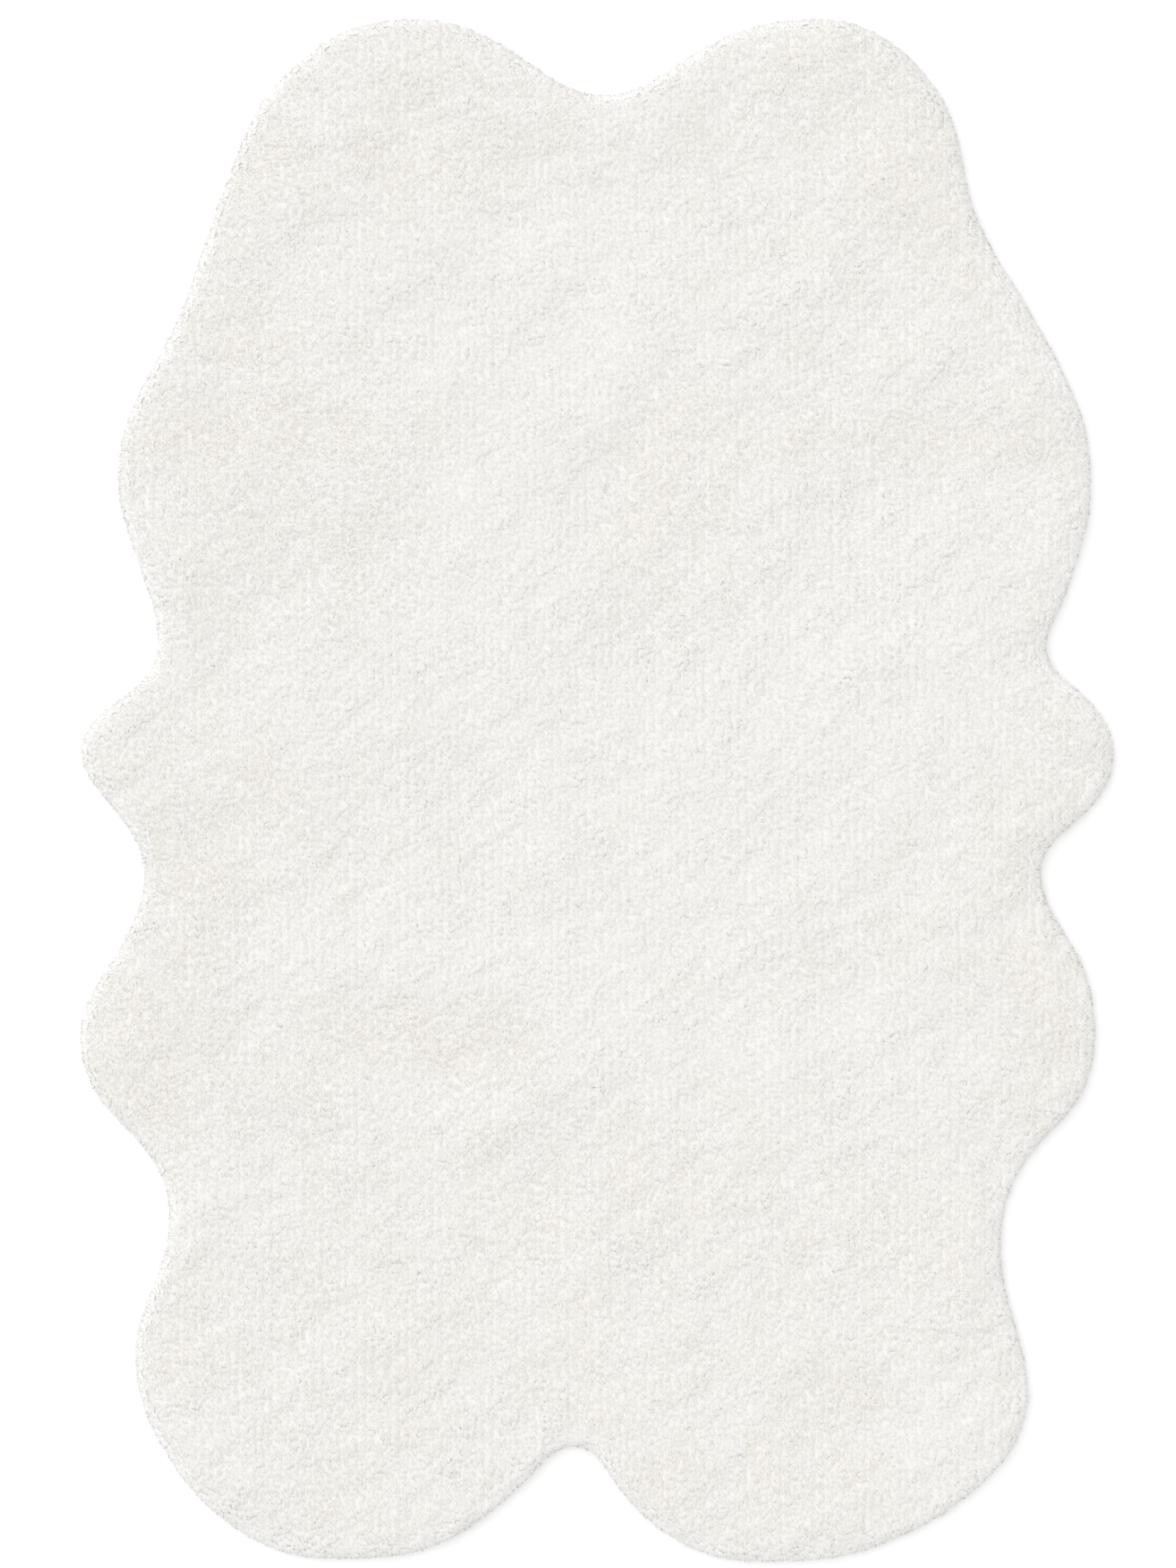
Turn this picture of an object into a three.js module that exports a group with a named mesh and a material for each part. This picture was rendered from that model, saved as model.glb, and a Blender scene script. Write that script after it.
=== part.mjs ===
// A shag rug cut to the outline of four joined sheepskins. It is one piece: a slab of dense
// cut pile that lies flat, uneven on top where the pile is brushed over, with a rim of locks.
// Millimetres, +Z up. The origin is the middle of the underside, and +Y runs along the rug.
import * as THREE from "three";

// Driving dimensions
const WIDTH = 1227; // across the two ears at mid length
const LENGTH = 1829; // over the end lobes
const PILE_HEIGHT = 24; // floor to the mean pile surface
const LOCK_COUNT = 280; // locks round the rim
const LOCK_GAP = 6; // how far the rim draws in between two locks
const LOCK_UNEVENNESS = 0.4; // the share of that by which the shortest lock falls short
const HANDLE = 0.36; // curve handle, as a share of the distance between two rim points

// The rim, clockwise from the notch at the top. x is across and y along, from the middle of the
// rug, and heading is the way the rim runs there in degrees, anticlockwise from +X.
const RIM = [
  { place: "top notch", x: 8, y: 824, heading: 0 },
  { place: "top right rise", x: 110, y: 871, heading: 33 },
  { place: "top right lobe", x: 270, y: 914.5, heading: -2 },
  { place: "top right corner", x: 398, y: 838, heading: -52 },
  { place: "right neck", x: 440, y: 715, heading: -78 },
  { place: "right shoulder", x: 482, y: 620, heading: -57 },
  { place: "right shoulder end", x: 560, y: 481, heading: -64 },
  { place: "right flank", x: 586, y: 362, heading: -90 },
  { place: "right flank end", x: 555, y: 228, heading: -109 },
  { place: "notch over right ear", x: 532, y: 168, heading: -92 },
  { place: "right ear top", x: 570, y: 121, heading: -41 },
  { place: "right ear", x: 613.5, y: 42, heading: -90 },
  { place: "right ear foot", x: 568, y: -38, heading: -140 },
  { place: "notch under right ear", x: 526, y: -95, heading: -90 },
  { place: "right hip rise", x: 564, y: -183, heading: -59 },
  { place: "right hip", x: 591, y: -285, heading: -90 },
  { place: "right hip end", x: 558, y: -384, heading: -133 },
  { place: "right waist start", x: 500, y: -453, heading: -120 },
  { place: "right waist", x: 479, y: -540, heading: -91 },
  { place: "right leg", x: 512, y: -715, heading: -90 },
  { place: "right leg corner", x: 430, y: -844, heading: -143 },
  { place: "bottom right rise", x: 343, y: -892, heading: -157 },
  { place: "bottom right lobe", x: 185, y: -914.5, heading: 180 },
  { place: "bottom right end", x: 60, y: -866, heading: 141 },
  { place: "bottom notch right", x: -2, y: -788, heading: 125 },
  { place: "bottom notch", x: -26, y: -777, heading: 180 },
  { place: "bottom notch left", x: -86, y: -822, heading: -137 },
  { place: "bottom left rise", x: -190, y: -895, heading: -158 },
  { place: "bottom left lobe", x: -320, y: -911, heading: 180 },
  { place: "left leg corner", x: -441, y: -866, heading: 143 },
  { place: "left leg end", x: -525, y: -762, heading: 118 },
  { place: "left leg", x: -548, y: -672, heading: 92 },
  { place: "left waist", x: -507, y: -505, heading: 90 },
  { place: "left hip end", x: -560, y: -400, heading: 138 },
  { place: "left hip", x: -613.5, y: -290, heading: 90 },
  { place: "left hip rise", x: -565, y: -184, heading: 62 },
  { place: "notch under left ear", x: -537, y: -100, heading: 90 },
  { place: "left ear foot", x: -577, y: -18, heading: 130 },
  { place: "left ear", x: -613, y: 48, heading: 90 },
  { place: "left ear top", x: -560, y: 113, heading: 35 },
  { place: "notch over left ear", x: -521, y: 172, heading: 88 },
  { place: "left flank start", x: -552, y: 290, heading: 107 },
  { place: "left flank", x: -569, y: 370, heading: 90 },
  { place: "left shoulder", x: -518, y: 518, heading: 60 },
  { place: "left shoulder end", x: -467, y: 643, heading: 71 },
  { place: "left neck", x: -412, y: 790, heading: 66 },
  { place: "top left corner", x: -337, y: 877, heading: 39 },
  { place: "top left lobe", x: -215, y: 914.5, heading: 0 },
  { place: "top left rise", x: -80, y: 863, heading: -36 },
];

// How the pile rounds over at the rim: each step's distance in from the rim and its height.
// On a lock the rim reaches out and rides high, and between two locks it falls by "between".
const RIM_STEPS = [
  { step: "underside", inset: 15, height: 0, between: 0, perLock: 2 },
  { step: "lock tips", inset: 0, height: 6, between: -1, perLock: 2 },
  { step: "lock backs", inset: 6, height: 15, between: -3, perLock: 2 },
  { step: "shoulder", inset: 16, height: 21, between: 0, perLock: 1 },
];

// From the shoulder the pile runs in to a seam along the middle of the rug, in rings of points.
// reach is how far in the ring lies, from 0 at the rim to 1 at the seam.
const PILE_RINGS = [
  { reach: 0.075, perLock: 1 },
  { reach: 0.125, perLock: 1 },
  { reach: 0.175, perLock: 1 },
  { reach: 0.225, perLock: 1 },
  { reach: 0.28, perLock: 1 },
  { reach: 0.34, perLock: 1 },
  { reach: 0.4, perLock: 0.5 },
  { reach: 0.46, perLock: 0.5 },
  { reach: 0.52, perLock: 0.5 },
  { reach: 0.58, perLock: 0.5 },
  { reach: 0.64, perLock: 0.5 },
  { reach: 0.7, perLock: 0.25 },
  { reach: 0.77, perLock: 0.25 },
  { reach: 0.84, perLock: 0.25 },
  { reach: 0.91, perLock: 0.25 },
  { reach: 0.965, perLock: 0.25 },
];
const SEAM_SHARE = 0.36; // the seam's length, as a share of the rug's

// Soft swells that run through the whole pile
const SWELLS = [
  { heading: 28, wavelength: 310, height: 0.9, phase: 0.4 },
  { heading: 118, wavelength: 230, height: 0.7, phase: 2.1 },
  { heading: 75, wavelength: 170, height: 0.6, phase: 4.4 },
  { heading: -35, wavelength: 140, height: 0.6, phase: 1.2 },
];

// Lumps of matted pile, by the size of a lump and how far it stands up or lies down
const LUMPS = [
  { size: 72, height: 2.2 },
  { size: 46, height: 1.2 },
];

// Marks where the pile was stroked over: a furrow has a negative height and a ridge a positive one.
const STROKES = [
  { x: -30, y: 625, heading: 32, length: 190, width: 46, height: 2.2 },
  { x: 40, y: 410, heading: 54, length: 260, width: 50, height: -2.6 },
  { x: -110, y: 350, heading: 40, length: 120, width: 52, height: 2.6 },
  { x: -310, y: 272, heading: 27, length: 240, width: 42, height: -2.4 },
  { x: -180, y: 221, heading: 12, length: 150, width: 40, height: -1.8 },
  { x: 366, y: 410, heading: 2, length: 190, width: 44, height: -2.6 },
  { x: -400, y: 535, heading: 4, length: 150, width: 60, height: -2.8 },
  { x: -395, y: 760, heading: 20, length: 110, width: 52, height: -2.4 },
  { x: -150, y: -318, heading: 34, length: 210, width: 48, height: -3 },
  { x: -20, y: -345, heading: 27, length: 240, width: 46, height: 2.2 },
  { x: -498, y: -283, heading: 88, length: 170, width: 44, height: -2.6 },
  { x: -335, y: -113, heading: 60, length: 90, width: 60, height: 2 },
  { x: 253, y: -322, heading: 20, length: 200, width: 80, height: 1.6 },
  { x: 20, y: -600, heading: 8, length: 200, width: 44, height: -1.6 },
];

const radians = THREE.MathUtils.degToRad;

// A number from 0 to 1 that is always the same for the same pair of whole numbers
function chance(i, j) {
  const wave = Math.sin(i * 127.1 + j * 311.7) * 43758.5453;
  return wave - Math.floor(wave);
}

// Soft lumps from -1 to 1: chance values at the corners of square cells, eased between them
function lumpAt(x, y, size) {
  const [u, v] = [x / size, y / size];
  const [i, j] = [Math.floor(u), Math.floor(v)];
  const [s, t] = [THREE.MathUtils.smoothstep(u - i, 0, 1), THREE.MathUtils.smoothstep(v - j, 0, 1)];
  const low = THREE.MathUtils.lerp(chance(i, j), chance(i + 1, j), s);
  const high = THREE.MathUtils.lerp(chance(i, j + 1), chance(i + 1, j + 1), s);
  return 2 * THREE.MathUtils.lerp(low, high, t) - 1;
}

function swellAt(x, y, { heading, wavelength, height, phase }) {
  const along = x * Math.cos(radians(heading)) + y * Math.sin(radians(heading));
  return height * Math.sin((2 * Math.PI * along) / wavelength + phase);
}

function strokeAt(x, y, { x: midX, y: midY, heading, length, width, height }) {
  const [c, s] = [Math.cos(radians(heading)), Math.sin(radians(heading))];
  const along = ((x - midX) * c + (y - midY) * s) / (length / 2);
  const aside = ((y - midY) * c - (x - midX) * s) / (width / 2);
  return height * Math.exp(-(along ** 4) - aside ** 2);
}

// How far the pile stands above or below its mean height at a point of the rug
function unevenness(x, y) {
  let sum = 0;
  for (const swell of SWELLS) sum += swellAt(x, y, swell);
  for (const lump of LUMPS) sum += lump.height * lumpAt(x, y, lump.size);
  for (const stroke of STROKES) sum += strokeAt(x, y, stroke);
  return sum;
}

// The rim as one smooth closed path, each stretch a curve that keeps the headings at its ends
function rimPath() {
  const path = new THREE.Path();
  path.moveTo(RIM[0].x, RIM[0].y);
  RIM.forEach((from, i) => {
    const to = RIM[(i + 1) % RIM.length];
    const handle = HANDLE * Math.hypot(to.x - from.x, to.y - from.y);
    const [out, back] = [radians(from.heading), radians(to.heading)];
    path.bezierCurveTo(
      from.x + handle * Math.cos(out),
      from.y + handle * Math.sin(out),
      to.x - handle * Math.cos(back),
      to.y - handle * Math.sin(back),
      to.x,
      to.y,
    );
  });
  return path;
}

// Evenly spaced points of the rim, two to a lock, each with the direction out of the rug
function rimPoints() {
  const count = 2 * LOCK_COUNT;
  const places = rimPath().getSpacedPoints(count).slice(0, count);
  return places.map((place, i) => {
    const before = places[(i + count - 1) % count];
    const after = places[(i + 1) % count];
    const out = new THREE.Vector2(before.y - after.y, after.x - before.x).normalize();
    return { x: place.x, y: place.y, out };
  });
}

// One ring of the rounded rim. Even points lie on a lock and odd ones between two locks.
function rimRing(rim, { inset, height, between, perLock, step }) {
  const every = 2 / perLock;
  return rim
    .map((point, i) => {
      const isGap = i % 2 === 1;
      const shortfall = LOCK_GAP * LOCK_UNEVENNESS * chance(i, inset);
      const drawnIn = step === "lock tips" ? (isGap ? LOCK_GAP : shortfall) : 0;
      const depth = inset + drawnIn;
      const x = point.x - point.out.x * depth;
      const y = point.y - point.out.y * depth;
      const share = height / PILE_HEIGHT;
      const z = height + (isGap ? between : 0) + share ** 2 * unevenness(x, y);
      return new THREE.Vector3(x, y, height === 0 ? 0 : z);
    })
    .filter((_, i) => i % every === 0);
}

// One ring of the pile's top, drawn in from the rim towards the middle seam
function pileRing(rim, { reach, perLock }) {
  const every = 2 / perLock;
  return rim
    .filter((_, i) => i % every === 0)
    .map(({ x, y }) => {
      const inX = x * (1 - reach);
      const inY = y * (1 - reach * (1 - SEAM_SHARE));
      return new THREE.Vector3(inX, inY, PILE_HEIGHT + unevenness(inX, inY));
    });
}

// Gathers rings of points and the triangles between them into one closed geometry
class RingMesh {
  constructor() {
    this.positions = [];
    this.triangles = [];
  }

  addRing(points) {
    const first = this.positions.length / 3;
    for (const point of points) this.positions.push(point.x, point.y, point.z);
    return points.map((_, i) => first + i);
  }

  // Joins an outer ring to the next one in, which has as many points or half as many
  join(outer, inner) {
    const ratio = outer.length / inner.length;
    inner.forEach((here, j) => {
      const next = inner[(j + 1) % inner.length];
      const fine = [0, 1, 2].map((k) => outer[(j * ratio + k) % outer.length]);
      if (ratio === 1) {
        this.triangles.push(fine[0], here, fine[1], fine[1], here, next);
      } else {
        this.triangles.push(fine[0], here, fine[1], fine[1], here, next, fine[1], next, fine[2]);
      }
    });
  }

  plan(corner) {
    return new THREE.Vector2(this.positions[3 * corner], this.positions[3 * corner + 1]);
  }

  // Fills the lowest ring with flat triangles that face down
  fillUnderside(ring) {
    const corners = ring.map((corner) => this.plan(corner));
    for (const [a, b, c] of THREE.ShapeUtils.triangulateShape(corners, [])) {
      const turn = corners[b].clone().sub(corners[a]).cross(corners[c].clone().sub(corners[a]));
      this.triangles.push(ring[a], ring[turn > 0 ? c : b], ring[turn > 0 ? b : c]);
    }
  }

  // Closes the last, slim ring along the seam, stepping down its two sides by turns
  closeSeam(ring) {
    let [right, left] = [0, ring.length - 1];
    while (left - right > 1) {
      const across = (a, b) => this.plan(ring[a]).distanceTo(this.plan(ring[b]));
      const stepsRight = across(right + 1, left) < across(right, left - 1);
      const next = stepsRight ? right + 1 : left - 1;
      this.triangles.push(ring[right], ring[left], ring[next]);
      if (stepsRight) right = next;
      else left = next;
    }
  }

  geometry() {
    const geometry = new THREE.BufferGeometry();
    geometry.setAttribute("position", new THREE.Float32BufferAttribute(this.positions, 3));
    geometry.setIndex(this.triangles);
    geometry.computeVertexNormals();
    return geometry;
  }
}

function pileSlab() {
  const rim = rimPoints();
  const mesh = new RingMesh();
  const rings = [
    ...RIM_STEPS.map((step) => mesh.addRing(rimRing(rim, step))),
    ...PILE_RINGS.map((ring) => mesh.addRing(pileRing(rim, ring))),
  ];
  mesh.fillUnderside(rings[0]);
  rings.slice(1).forEach((ring, i) => mesh.join(rings[i], ring));
  mesh.closeSeam(rings[rings.length - 1]);
  return mesh.geometry();
}

// Scales the slab to its driving width and length, with the middle of its underside at the origin
function fitted(geometry) {
  geometry.computeBoundingBox();
  const size = geometry.boundingBox.getSize(new THREE.Vector3());
  const middle = geometry.boundingBox.getCenter(new THREE.Vector3());
  geometry.translate(-middle.x, -middle.y, 0);
  geometry.scale(WIDTH / size.x, LENGTH / size.y, 1);
  return geometry;
}

const ivoryPile = new THREE.MeshStandardMaterial({ color: 0xf1efea, roughness: 0.95, metalness: 0 });

const shagRug = new THREE.Mesh(fitted(pileSlab()), ivoryPile);
shagRug.name = "shag_rug";

const rug = new THREE.Group();
rug.add(shagRug);

export default rug;
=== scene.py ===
"""Shag rug in the outline of four joined sheepskins, seen from straight above.

The pile slab of the frame is dressed with a backing cloth, a dense bed of under-wool on it, and
rows of wool tufts that lean over in brushed patches and droop round the rim.
"""
import math
from contextlib import contextmanager
from typing import NamedTuple

import bpy
import numpy as np
from bpy.props import FloatProperty, FloatVectorProperty, IntProperty, PointerProperty
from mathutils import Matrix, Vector
from mathutils.bvhtree import BVHTree
from mathutils.interpolate import poly_3d_calc
from mathutils.kdtree import KDTree


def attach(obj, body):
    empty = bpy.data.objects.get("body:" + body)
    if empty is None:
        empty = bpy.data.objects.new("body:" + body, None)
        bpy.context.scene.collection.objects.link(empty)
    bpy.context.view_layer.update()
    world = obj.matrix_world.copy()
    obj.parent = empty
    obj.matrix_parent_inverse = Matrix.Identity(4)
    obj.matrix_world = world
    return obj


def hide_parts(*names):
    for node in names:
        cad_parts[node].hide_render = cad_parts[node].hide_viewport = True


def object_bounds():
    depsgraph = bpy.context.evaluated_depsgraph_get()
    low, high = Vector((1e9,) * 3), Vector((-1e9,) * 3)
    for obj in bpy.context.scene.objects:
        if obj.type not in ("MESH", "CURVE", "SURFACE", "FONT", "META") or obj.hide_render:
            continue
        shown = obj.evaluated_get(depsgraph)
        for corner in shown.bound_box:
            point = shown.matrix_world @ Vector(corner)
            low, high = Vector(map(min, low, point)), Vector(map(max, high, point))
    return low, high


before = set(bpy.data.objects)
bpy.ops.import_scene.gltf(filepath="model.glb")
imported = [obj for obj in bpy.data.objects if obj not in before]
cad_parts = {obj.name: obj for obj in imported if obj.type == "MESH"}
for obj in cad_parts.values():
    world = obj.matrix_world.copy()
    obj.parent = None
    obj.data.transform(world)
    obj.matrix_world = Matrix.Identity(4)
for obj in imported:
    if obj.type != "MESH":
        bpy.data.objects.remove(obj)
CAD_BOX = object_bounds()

bl_info = {
    "name": "Shag rug",
    "version": (1, 0, 0),
    "blender": (4, 5, 0),
    "location": "3D View > Sidebar > Shag rug",
    "description": "Dresses a flat pile slab with a backing, under-wool and leaning tufts",
    "category": "Object",
}

SLAB = "shag_rug"
BODY = "root"
BAKE_MAP = "OFBake"
FIBRE_MAP = "fibre"
BED_PIECE = "wool_bed"
RIM_PIECE = "pile_rim"
FIELD_PIECES = ("pile_top", "pile_shoulders", "pile_waist", "pile_hips", "pile_legs")
SELECT_MODES = {
    "vertices": (True, False, False),
    "edges": (False, True, False),
    "polygons": (False, False, True),
}

# How near two points of the slab are one, and how low and how level the faces of its underside are
MERGE_DISTANCE = 1e-5
UNDERSIDE_HEIGHT = 1e-5
UNDERSIDE_FACING = -0.99


class NapPatch(NamedTuple):
    """A place where the pile was stroked over: its middle and size in metres, the way that the
    tips point in degrees from +X, how far they lean (a tangent), how rough they lie, and how much
    creamier than the rest the wool is there, its creamy colour also darker as painted shade."""

    x: float
    y: float
    width: float
    length: float
    heading: float
    lean: float
    rough: float
    cream_and_shade: float


# How the pile lies between the patches, and how much that counts against them
BASE_NAP = NapPatch(0, 0, 0, 0, -80, 0.8, 0.5, 0)
BASE_WEIGHT = 0.35
NAP_PATCHES = (
    # Creamy places, also darker in colour as painted shade for the dull patches, from the top end down
    NapPatch(-0.20, 0.86, 0.36, 0.12, -95, 0.7, 0.5, 0.3),
    NapPatch(0.30, 0.84, 0.32, 0.16, -95, 0.7, 0.5, 0.3),
    NapPatch(-0.38, 0.74, 0.22, 0.07, -120, 0.6, 0.7, 0.8),
    NapPatch(-0.13, 0.74, 0.13, 0.10, -95, 0.7, 0.5, 0.4),
    NapPatch(0.40, 0.66, 0.18, 0.20, -95, 0.8, 0.5, 0.3),
    NapPatch(-0.43, 0.53, 0.12, 0.09, -130, 0.5, 0.8, 1.0),
    NapPatch(-0.38, 0.42, 0.36, 0.07, -150, 0.6, 0.6, 0.9),
    NapPatch(-0.34, 0.30, 0.26, 0.14, -130, 0.6, 0.6, 0.4),
    NapPatch(0.06, 0.44, 0.07, 0.26, -100, 0.6, 0.7, 0.6),
    NapPatch(0.13, 0.31, 0.18, 0.20, -150, 0.5, 0.8, 0.5),
    NapPatch(0.38, 0.41, 0.30, 0.06, -140, 0.6, 0.6, 0.9),
    NapPatch(0.49, 0.18, 0.10, 0.12, -70, 0.7, 0.5, 0.6),
    NapPatch(-0.45, -0.04, 0.16, 0.20, -110, 0.6, 0.7, 0.5),
    NapPatch(0.53, -0.16, 0.13, 0.34, -70, 0.7, 0.5, 1.0),
    NapPatch(-0.51, -0.30, 0.15, 0.24, -110, 0.6, 0.6, 0.8),
    NapPatch(-0.18, -0.30, 0.26, 0.08, -140, 0.5, 0.7, 0.8),
    NapPatch(0.00, -0.46, 0.36, 0.13, -100, 0.7, 0.5, 0.5),
    NapPatch(0.27, -0.60, 0.30, 0.26, -90, 0.7, 0.5, 0.4),
    NapPatch(-0.28, -0.70, 0.24, 0.26, -95, 0.8, 0.5, 0.4),
    NapPatch(0.18, -0.82, 0.28, 0.13, -85, 0.8, 0.5, 0.5),
    # Smooth places, cleaner and lighter in colour with less of that painted shade, from the top end down
    NapPatch(-0.05, 0.56, 0.28, 0.26, -50, 1.0, 0.3, -1.0),
    NapPatch(0.25, 0.55, 0.16, 0.14, -50, 0.9, 0.4, -0.4),
    NapPatch(-0.12, 0.32, 0.20, 0.26, -45, 1.1, 0.25, -0.7),
    NapPatch(0.33, 0.24, 0.30, 0.32, -30, 0.9, 0.4, -1.0),
    NapPatch(-0.30, 0.12, 0.24, 0.14, -60, 0.9, 0.4, -0.5),
    NapPatch(0.07, 0.03, 0.46, 0.34, -40, 0.9, 0.4, -0.6),
    NapPatch(-0.20, -0.18, 0.36, 0.09, -55, 1.0, 0.35, -0.8),
    NapPatch(0.01, -0.28, 0.16, 0.12, -40, 1.1, 0.3, -0.8),
    NapPatch(0.29, -0.34, 0.26, 0.20, -50, 0.9, 0.4, -0.5),
    NapPatch(-0.42, -0.50, 0.14, 0.10, -60, 0.9, 0.4, -0.7),
    NapPatch(0.40, -0.74, 0.12, 0.16, -60, 0.9, 0.4, -0.4),
)

# Layers of soft noise, each a cell size in metres and a share: how the stroke wanders in degrees, how
# ragged the edges of its patches are, and the creamy blotches of the wool
NOISE_REACH = 1.2
NAP_WANDER = ((0.16, 22), (0.05, 18))
NAP_RAGGED = ((0.05, 0.5), (0.02, 0.4))
BLOTCHES = ((0.09, 0.14), (0.04, 0.25), (0.018, 0.3))

# Tint of the tufts, from 0 for clean to 1 for creamy wool, whose colour is also darker as painted shade:
# its middle, what a patch's cream adds to it, and how much it differs from tuft to tuft. Round the rim
# it is less by this much, below 0 for a painted near-white glow on the rim, which also lightens its
# shaded side, and the field's tufts fade to that over a band of this width in metres.
TINT_MIDDLE = 0.5
TINT_OF_CREAM = 0.8
TINT_SPREAD = 0.05
RIM_GLOW = 0.9
RIM_GLOW_FADE = 0.024

# The bed, in metres: how far inside the underside's edge its level top begins, how far its rim is
# filled out, how strongly and how often that is smoothed, and how far the wool stays off the floor
BED_TOP_INSET = 0.0065
RIM_FILL = 0.0055
RIM_SMOOTHING = 0.5
RIM_SMOOTHINGS = 12
FLOOR_GAP = 0.0004

# Steps along the underside's edge in metres, and the steps each way that its direction is taken over
EDGE_STEP = 0.004
EDGE_REACH = 3

# The rounded rim, as an ellipse in the cut across it: its middle out of the underside's edge and over
# the floor, and its two radii, in metres. Below its middle it tucks under to the floor. Rows of tufts
# stand near it at these turns from upright, this far apart. They stray along the row by a share of that
# and across it by degrees.
RIM_MIDDLE = (-0.007, 0.0055)
RIM_RADII = (0.0180, 0.0148)
RIM_TURNS = (40, 52, 64, 76, 88, 101, 115, 130)
RIM_PITCH = 0.004
RIM_SHIFT = 0.3
RIM_SWAY = 3

# The rim's tufts: shares of the way out and of the way down as they set off, of the way out at their
# tips and of their bend back to the bed, and how far they stray. Their length is given in tuft lengths,
# with its waves along the rim as a layer of soft noise, its spread, and the metres by which it may be
# more than the root is high.
RIM_START = (0.4, 0.9)
RIM_TIP = 0.1
RIM_HUG = 0.42
RIM_STRAY = 0.22
RIM_LENGTH = 1.15
RIM_WAVES = (0.018, 0.12)
RIM_SPREAD = 0.1
RIM_SPARE = 0.003

# The field's tufts: how far inside the underside's edge they end, in metres and past it below 0, how far
# they stray, in pitches, and how much they differ in length. A rough nap spreads their lean. At the rim
# they give up a share of it and lean outwards. They lean less as they set off than at their tips. The
# clumps that they lean to have their middles within these shares of a clump pitch.
FIELD_INSET = -0.0075
ROW_STRAY = 0.25
STITCH_STRAY = 0.28
LENGTH_SPREAD = 0.04
ROUGH_SPREAD = 0.4
SPLAY_LOSS = 0.7
SPLAY_LEAN = 0.9
START_LEAN = 0.35
TIP_LEAN = 1.4
CLUMP_SPAN = (0.1, 0.9)

# Small lumps of the pile, its ridges that were brushed up, slanting over most of the rug and level at
# its upper left, and the furrows between rows, which wander and come and go: cell sizes in metres,
# shares of the lump height, headings in degrees. Tufts tilt more than the relief does.
LUMP_CELL = 0.010
LUMP_SHARE = 0.7
RIDGE_CELLS = (0.011, 0.02)
RIDGE_STRETCH = 2.2
SLANT_HEADING = 38
LEVEL_HEADING = 8
LEVEL_ABOVE = (0.3, 0.5)
LEVEL_LEFT_OF = (0.2, -0.1)
FURROW_PITCH = 0.0125
FURROW_PATCH = 0.13
FURROW_SHARE = 0.35
FURROW_MORE = 0.2
FURROW_WANDER_CELL = 0.06
FURROW_WANDER = 1.5
SLOPE_STEP = 0.0005
RELIEF_TILT = 1.3

# One tuft of unit size: its puff's sides, foot, tip and share of the tuft's lean, its strands' foot and
# tip, how deep it is rooted in metres, and a sideways share that tells an upright tuft's sides apart
PUFF_SIDES = 5
PUFF_FOOT = 0.25
PUFF_TIP = 0.57
PUFF_LEAN = 0.15
STRAND_FOOT = 0.3
STRAND_TIP = 1.0
ROOT_DEPTH = 0.002
SIDE_SHARE = 0.02

# How tufts differ: shares of the radius, of the puff's and of the strands' lengths, and their twist
RADIUS_SPAN = (0.8, 1.2)
PUFF_SPAN = (0.92, 1.08)
STRAND_SPAN = (0.7, 1.15)
MOST_STRANDS = 5
TWIST_SPREAD = 0.4

# Maps of a tuft: the margin round each part in the bake map, and in the fibre map the puff's width and
# the steps from part to part and from tuft to tuft that keep their fibres from being alike
BAKE_MARGIN = 0.1
PUFF_FIBRES = 3
PART_STEP = 2.7
TUFT_STEP = 7.3

# Finishes: fibres across, along and through, bumps as a strength and a height in metres
WOOL_SPECULAR = 0.15
SHEEN_ROUGHNESS = 0.6
SHEEN_TINT = (1, 0.985, 0.96, 1)
FIBRE_DETAIL = 2
TUFT_FIBRES = (6, 0.9, 1)
TUFT_BUMP = (0.5, 0.0006)
BED_FIBRES = (900, 420, 420)
BED_BUMP = (0.35, 0.0007)
BED_RISE = 0.1
THREAD_SCALE = 160
THREAD_UNEVEN = 0.6
THREAD_DETAIL = 2
THREAD_SHADE = 0.72
CANVAS_BUMP = (0.6, 0.0008)
CANVAS_ROUGHNESS = 0.9
CANVAS_SPECULAR = 0.2

# Where the far lamps stand
TOP_PLACE = (0, 0, 3)
KEY_PLACE = (-2.5, 2.2, 2.5)


class Tufts(NamedTuple):
    """Many tufts as arrays: roots, the bed's normal there, the way they set off, how they bend
    over, a sideways way for upright ones, sizes, the lengths of their strands and tint."""

    root: np.ndarray
    normal: np.ndarray
    start: np.ndarray
    bend: np.ndarray
    side: np.ndarray
    length: np.ndarray
    radius: np.ndarray
    twist: np.ndarray
    uneven: np.ndarray
    tint: np.ndarray

    def part(self, chosen):
        return Tufts(*(values[chosen] for values in self))


class TuftStyle(NamedTuple):
    """What a tuft is made of: whether it has a puff, the turns of its strands round the tuft's line
    in degrees, and how far from that line they lie and how wide they are, in tuft radii."""

    puff: bool
    turns: tuple
    reach: float
    width: float


FIELD_STYLE = TuftStyle(True, (-120, 0, 120), 0.45, 0.2)
RIM_STYLE = TuftStyle(False, (-70, -35, 0, 35, 70), 0.3, 0.32)


class TuftShape(NamedTuple):
    """One tuft of unit size, as arrays: points, face corners, face starts, the puff or strand that
    each point belongs to, how high it is in it, how far it leans, and the two maps of the corners."""

    points: np.ndarray
    corners: np.ndarray
    starts: np.ndarray
    island: np.ndarray
    rise: np.ndarray
    lean: np.ndarray
    bake_uv: np.ndarray
    fibre_uv: np.ndarray


# Settings


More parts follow.
